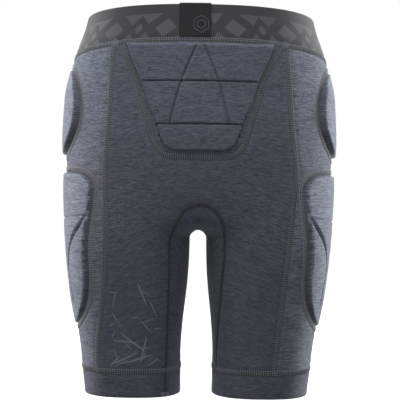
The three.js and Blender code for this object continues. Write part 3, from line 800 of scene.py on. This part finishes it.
def add_pad(name, view, outline, height, foot, width, grooves, fabric, step, most_swell,
            raised=None):
    """A pad's cover, with its foam and lining behind it.

    foot is the flat rim's width, width the wall's, step the size of the cover's faces, and most_swell
    the furthest that the cloth simulation may lift it.
    """
    shape = (height, foot, width, grooves, raised)
    points, base, faces, edge = pad_grid(view, outline, step, 0.8)
    normal = unit(slope_at(base))
    top, groove_distance, inset = cover_height(view, points, base, edge, *shape)
    coarse, coarse_base, coarse_faces, coarse_edge = pad_grid(view, outline, SWELL_STEP, 0.8)
    coarse_normal = unit(slope_at(coarse_base))
    coarse_top, coarse_groove, coarse_inset = cover_height(view, coarse, coarse_base, coarse_edge, *shape)
    held = (coarse_inset < 3) | (coarse_groove < 2.2)
    lift = swelling(coarse_base + coarse_normal * coarse_top[:, None], coarse_normal, coarse_faces, held,
                    most_swell)
    soft = ease(inset, 0, 5) * ease(groove_distance, 0, 3.5)
    top += spread(coarse, lift, points) * soft
    grain = np.stack([points[:, 0], points[:, 1], np.full(len(base), len(name) * 3.1)], 1)
    # The wall and rim faces of a cover take the darker back heather: painted shade on the wall beside the lit
    # face.
    cover = add_object(f"{name}_cover", base + normal * top[:, None], faces.tolist(), [fabric, back_fabric],
                       [f"{name}_cover"], {"grain": grain}, inset[faces].mean(1) < width)
    thicken(cover, PANEL_THICKNESS)
    add_backing(name, view, outline, top.max())


BACKING_STEP = 3.0
LINING_DEPTH = 2.3              # of the pocket lining, inside the skin
LINING_THICKNESS = 0.7
FOAM_INSET = 8                  # from the cover's edge to the foam's
FOAM_SHARE = 0.4                # of the cover's height
FOAM_DEPTH = 1.2                # of the foam's underside, inside the skin


def add_backing(name, view, outline, height):
    """The foam block and the mesh pocket behind a cover."""
    _, base, faces, edge = pad_grid(view, outline, BACKING_STEP, 0.8)
    normal = unit(slope_at(base))
    lining = add_object(f"{name}_lining", base - normal * LINING_DEPTH, faces.tolist(), [pocket_mesh],
                        [f"{name}_lining"])
    thicken(lining, LINING_THICKNESS)
    within = (edge > FOAM_INSET)[faces].all(1)
    used, place = np.unique(faces[within], return_inverse=True)
    thickness = height * FOAM_SHARE
    block = add_object(f"{name}_foam", base[used] + normal[used] * (thickness - FOAM_DEPTH),
                       place.reshape(-1, 4).tolist(), [pad_foam], [f"{name}_foam"])
    thicken(block, thickness)


def add_pads():
    thigh_grooves = list(zip(THIGH_GROOVES, (thigh_chevron, thigh_wedge, thigh_wedge)))
    # The hip and thigh pad covers take the heather copy painted lighter, as painted light.
    for side in ("left", "right"):
        add_pad(f"{side}_hip_pad", side, hip_outline, hip_height, 3.3, 2.4, [], pad_fabric_painted_lighter,
                0.9, 1.6)
        add_pad(f"{side}_thigh_pad", side, thigh_outline, thigh_height, 3.4, 2.0, thigh_grooves,
                pad_fabric_painted_lighter, 0.9, 1.2)
    under_waist = lambda a: float(waist_seam(on_skin("back", np.array([a]), np.array([400.0]))[0, 1])) - 0.5
    shape = [(a, under_waist(a)) for a in (0, 50, 92)] + TAILBONE_EDGE[2:]
    outline = curve_through(mirrored(shape), closed=True)
    raised = curve_through(mirrored(TAILBONE_RAISED), closed=True)
    grooves = list(zip(TAILBONE_GROOVES, (tailbone_level, tailbone_level, tailbone_slant, tailbone_slant)))
    add_pad("tailbone_pad", "back", outline, lambda a, z: TAILBONE_HEIGHT + 0 * a, 0.0, 1.7, grooves,
            back_fabric, 0.65, 0.6, raised)


add_pads()

# ---- Flatlock seams ----


def tubes(paths, frames, thickness, sides=5):
    """Threads along many short paths at once: points and faces."""
    count, length, _ = paths.shape
    along = unit(np.gradient(paths, axis=1))
    up = unit(frames - (frames * along).sum(-1, keepdims=True) * along)
    beside = np.cross(along, up)
    turn = np.arange(sides) / sides * 2 * math.pi
    ring = np.cos(turn)[:, None] * up[:, :, None] + np.sin(turn)[:, None] * beside[:, :, None]
    taper = np.ones(length)
    taper[[0, -1]] = 0.5
    points = paths[:, :, None] + ring * (thickness * taper)[None, :, None, None]
    i, j = np.meshgrid(np.arange(length - 1), np.arange(sides), indexing="ij")
    a, b = i * sides + j, i * sides + (j + 1) % sides
    quads = np.stack([a, b, b + sides, a + sides], -1).reshape(-1, 4)
    quads = (quads[None] + (np.arange(count) * length * sides)[:, None, None]).reshape(-1, 4)
    start = np.arange(count)[:, None] * length * sides
    caps = np.vstack([start + np.arange(sides)[::-1], start + (length - 1) * sides + np.arange(sides)])
    return points.reshape(-1, 3), quads.tolist() + caps.tolist()


def seam_frame(line, closed):
    """The across and outward directions along a line on the skin."""
    along = np.roll(line, -1, 0) - np.roll(line, 1, 0) if closed else np.gradient(line, axis=0)
    outward = unit(slope_at(np.clip(line, (-999, -999, 1), (999, 999, 445))))
    return unit(np.cross(along, outward)), outward


STITCH = 2.0                    # along the seam, from one stitch to the next
# A seam's cross-section: share of the half width, height, and whether the strip to the next is painted
# near-black as shade.
SEAM_SECTION = [
    (-1, -1.1, False), (-0.88, 0.25, False), (-0.56, 0.4, True), (-0.5, 0.0, True), (-0.24, 0.0, True),
    (-0.18, 0.45, False), (0.18, 0.45, True), (0.24, 0.0, True), (0.5, 0.0, True), (0.56, 0.4, False),
    (0.88, 0.25, False), (1, -1.1, False)]


def seam_mesh(line, closed, width):
    """A flatlock seam: a raised bed with two recessed rows painted near-black as shade, and rungs of thread
    across it.
    """
    across, outward = seam_frame(line, closed)
    bed = np.stack([lifted(line + across * width / 2 * share, 0) + outward * height
                    for share, height, _ in SEAM_SECTION], 1)
    if closed:
        bed = np.concatenate([bed, bed[:1]])
    bed_faces = grid_faces(len(bed), len(SEAM_SECTION))[:, ::-1]
    shaded = [kind for _, _, kind in SEAM_SECTION[:-1]] * (len(bed) - 1)

    spots = resampled(line, STITCH, closed)
    across, outward = seam_frame(spots, closed)
    along = np.cross(outward, across)
    stations = [(-0.92, 0.0), (-0.6, 0.5), (-0.25, 0.55), (0.25, 0.55), (0.6, 0.5), (0.92, 0.0)]
    rungs = np.stack([lifted(spots + across * width / 2 * share + along * share * 0.3, 0) + outward * height
                      for share, height in stations], 1)
    thread_points, thread_faces = tubes(rungs, np.repeat(outward[:, None], len(stations), 1), 0.42)
    start = bed.size // 3
    faces = bed_faces.tolist() + [[i + start for i in face] for face in thread_faces]
    kinds = shaded + [2] * len(thread_faces)
    return np.vstack([bed.reshape(-1, 3), thread_points]), faces, kinds


def add_seams():
    for name, (line, closed) in SEAMS.items():
        quiet = name.startswith("gusset")
        width = NARROW_SEAM_WIDTH if quiet else SEAM_WIDTH
        ground, yarn = (dark_ground, dark_thread) if quiet else (seam_ground, thread)
        # Pad seams take the copies painted lighter, as painted light.
        if name.endswith("pad_seam"):
            ground, yarn = pad_seam_ground_painted_lighter, pad_seam_thread_painted_lighter
        points, faces, kinds = seam_mesh(line, closed, width)
        add_object(name, points, faces, [ground, seam_recess_painted_shade, yarn], [name],
                   face_material=kinds)


add_seams()

# ---- Label ----

LABEL_LEFT, LABEL_RIGHT = -24, 11.5
LABEL_THICKNESS = 0.5
LABEL_TAIL = 22                 # how far the label hangs down inside the band


def label_path(x):
    """The label's outer face at one place across: up the band, over its top edge and down inside."""
    edge = float(band_top(on_skin("back", np.array([x]), np.array([440.0]))[0, 1]))
    seam = float(waist_seam(on_skin("back", np.array([x]), np.array([404.0]))[0, 1])) + 3.2
    up = np.linspace(seam, edge - 0.4, 16)
    over = np.linspace(0, math.pi, 8)[1:-1]
    down = np.linspace(edge - 0.4, edge - LABEL_TAIL, 8)
    middle, reach = -BAND_THICKNESS / 2, BAND_THICKNESS / 2 + 1.0
    lift = np.concatenate([
        np.full(16, middle + reach), middle + reach * np.cos(over), np.full(8, middle - reach)])
    z = np.concatenate([up, edge - 0.4 + reach * np.sin(over), down])
    base = on_skin("back", np.full(len(z), x), np.minimum(z, 446.0))
    base[:, 2] = z
    return base + np.array([0, -1, 0]) * lift[:, None]


def add_label():
    across = np.linspace(LABEL_LEFT, LABEL_RIGHT, 24)
    rows = np.stack([label_path(x) for x in across])
    faces = grid_faces(*rows.shape[:2])
    label = add_object("waist_label", rows.reshape(-1, 3), faces[:, ::-1].tolist(), [label_cloth],
                       ["waist_label"])
    thicken(label, LABEL_THICKNESS)
    corners = np.radians(np.arange(30, 391, 60))
    paths = []
    for size in (9.5, 5.0):
        ring = np.stack([0.5 + size * np.cos(corners), 421 + size * np.sin(corners)], 1)
        for a, b in zip(ring[:-1], ring[1:]):
            line = np.linspace(a, b, 8)
            paths.append(on_skin("back", *line.T) + (0, -BAND_THICKNESS / 2 + 0.02, 0))
    paths = np.array(paths)
    points, faces = tubes(paths, np.broadcast_to((0.0, -1.0, 0.0), paths.shape), 0.75, 6)
    add_object("waist_label_mark", points, faces, [label_mark], ())


add_label()

# ---- Print on the left leg, and the tack that holds its hem ----


def print_strokes():
    """Ends and half width of strokes scattered over the leg, closer together towards the hem."""
    chance = np.random.default_rng(PRINT_SEED)
    strokes = []
    while len(strokes) < PRINT_COUNT:
        x = -103 + 64 * chance.random()
        z = 36 + 100 * chance.random() ** 1.6
        turn = math.radians(chance.choice(PRINT_DIRECTIONS) + chance.normal(0, 6))
        length = 8 + 26 * chance.random() ** 1.5
        end_x = x + length * math.cos(turn)
        end_z = z + length * math.sin(turn)
        in_bare_middle = z > 100 and -88 < x < -58
        if not in_bare_middle and -106 < end_x < -38 and 35 < end_z < 142:
            strokes.append((x, z, end_x, end_z, 0.9 if length > 24 else 0.5))
    return strokes


def add_print():
    """Thin strokes of ink, lying on the fabric."""
    points, faces = [], []
    for x0, z0, x1, z1, half in print_strokes():
        count = max(3, round(math.hypot(x1 - x0, z1 - z0) / 1.5))
        line = np.linspace((x0, z0), (x1, z1), count)
        aside = np.array([-(z1 - z0), x1 - x0]) / math.hypot(x1 - x0, z1 - z0) * half
        taper = 1 - 0.6 * np.abs(np.linspace(-1, 1, count))[:, None] ** 3
        sides = [on_skin("back", *(line + aside * taper * s).T) for s in (-1, 1)]
        strip = np.stack([side + unit(slope_at(side)) * 0.3 for side in sides], 1)
        faces += (grid_faces(count, 2)[:, ::-1] + len(points) * 2).tolist()
        points += list(strip)
    add_object("leg_print", np.concatenate(points), faces, [print_ink], ())


def add_tack():
    """A bar of thread sewn over the end of the inner seam, at the left hem."""
    offsets = np.linspace(-1.6, 1.6, 5)
    paths = np.array([on_skin("back", np.linspace(-40, -31, 8), np.full(8, 3.2 + up)) for up in offsets])
    outward = unit(slope_at(paths.reshape(-1, 3))).reshape(paths.shape)
    points, faces = tubes(paths + outward * 0.3, outward, 0.5)
    add_object("hem_tack", points, faces, [thread], ())


add_print()
add_tack()

# ---- Camera, lights and floor ----

CAMERA_DISTANCE = 1600
FRAME_WIDTH = 472               # what the picture spans across the middle of the shorts
CAMERA_HEIGHT = 225
CAMERA_ROLL = math.radians(0.8)


def add_camera():
    data = bpy.data.cameras.new("camera")
    data.sensor_width = 36
    data.lens = data.sensor_width * CAMERA_DISTANCE / FRAME_WIDTH
    data.clip_end = 30
    camera = bpy.data.objects.new("camera", data)
    camera.location = (1.8 * MM, -CAMERA_DISTANCE * MM, CAMERA_HEIGHT * MM)
    camera.rotation_euler = (math.radians(90), -CAMERA_ROLL, 0)
    bpy.context.scene.collection.objects.link(camera)
    bpy.context.scene.camera = camera


LIGHT_DISTANCE = 1.3
# Soft studio light: name, angle round from behind the camera, angle above level, size in metres and power.
SOFTBOXES = [
    ("overhead softbox", 0, 78, (1.2, 0.8), 9),
    ("high softbox", 0, 50, (1.2, 0.8), 4.4),
    ("front softbox", 0, 12, (1.2, 0.8), 2.6),
    ("left quarter softbox", -60, 25, (0.8, 0.8), 2.5),
    ("left rim softbox", -110, 5, (0.5, 1.3), 17),
    ("right rim softbox", 110, 5, (0.5, 1.3), 21),
]


def add_softbox(name, angle, rise, size, power):
    data = bpy.data.lights.new(name, "AREA")
    data.shape = "RECTANGLE"
    data.size, data.size_y = size
    data.energy = power
    light = bpy.data.objects.new(name, data)
    target = Vector((0, 0, 0.24))
    towards = Vector((math.sin(angle) * math.cos(rise), -math.cos(angle) * math.cos(rise), math.sin(rise)))
    light.location = target + towards * LIGHT_DISTANCE
    light.rotation_euler = (-towards).to_track_quat("-Z", "Y").to_euler()
    light.visible_camera = False
    bpy.context.scene.collection.objects.link(light)


def add_world():
    """White behind the object, and a dim even light on it."""
    world = bpy.data.worlds.new("studio")
    bpy.context.scene.world = world
    world.use_nodes = True
    tree = world.node_tree
    tree.nodes.clear()
    seen, dim = tree.nodes.new("ShaderNodeBackground"), tree.nodes.new("ShaderNodeBackground")
    seen.inputs["Color"].default_value = (1, 1, 1, 1)
    dim.inputs["Color"].default_value = (0.93, 0.96, 1, 1)
    dim.inputs["Strength"].default_value = 0.03
    path, mix = tree.nodes.new("ShaderNodeLightPath"), tree.nodes.new("ShaderNodeMixShader")
    out = tree.nodes.new("ShaderNodeOutputWorld")
    tree.links.new(path.outputs["Is Camera Ray"], mix.inputs[0])
    tree.links.new(dim.outputs[0], mix.inputs[1])
    tree.links.new(seen.outputs[0], mix.inputs[2])
    tree.links.new(mix.outputs[0], out.inputs[0])


def add_floor():
    n = Nodes("floor")
    n.shader.inputs["Base Color"].default_value = (0.5, 0.5, 0.5, 1)
    n.shader.inputs["Roughness"].default_value = 0.9
    n.shader.inputs["Specular IOR Level"].default_value = 0.0
    n.shader.inputs["Emission Color"].default_value = (1, 1, 1, 1)
    n.shader.inputs["Emission Strength"].default_value = 1.0
    mesh = bpy.data.meshes.new("floor")
    mesh.from_pydata([(-9, -9, 0), (9, -9, 0), (9, 9, 0), (-9, 9, 0)], [], [(0, 1, 2, 3)])
    mesh.materials.append(n.material)
    floor = bpy.data.objects.new("floor", mesh)
    bpy.context.scene.collection.objects.link(floor)
    floor.visible_diffuse = False


add_camera()
add_world()
add_floor()
for name, angle, rise, size, power in SOFTBOXES:
    add_softbox(name, math.radians(angle), math.radians(rise), size, power)
bpy.context.scene.view_settings.view_transform = "Standard"
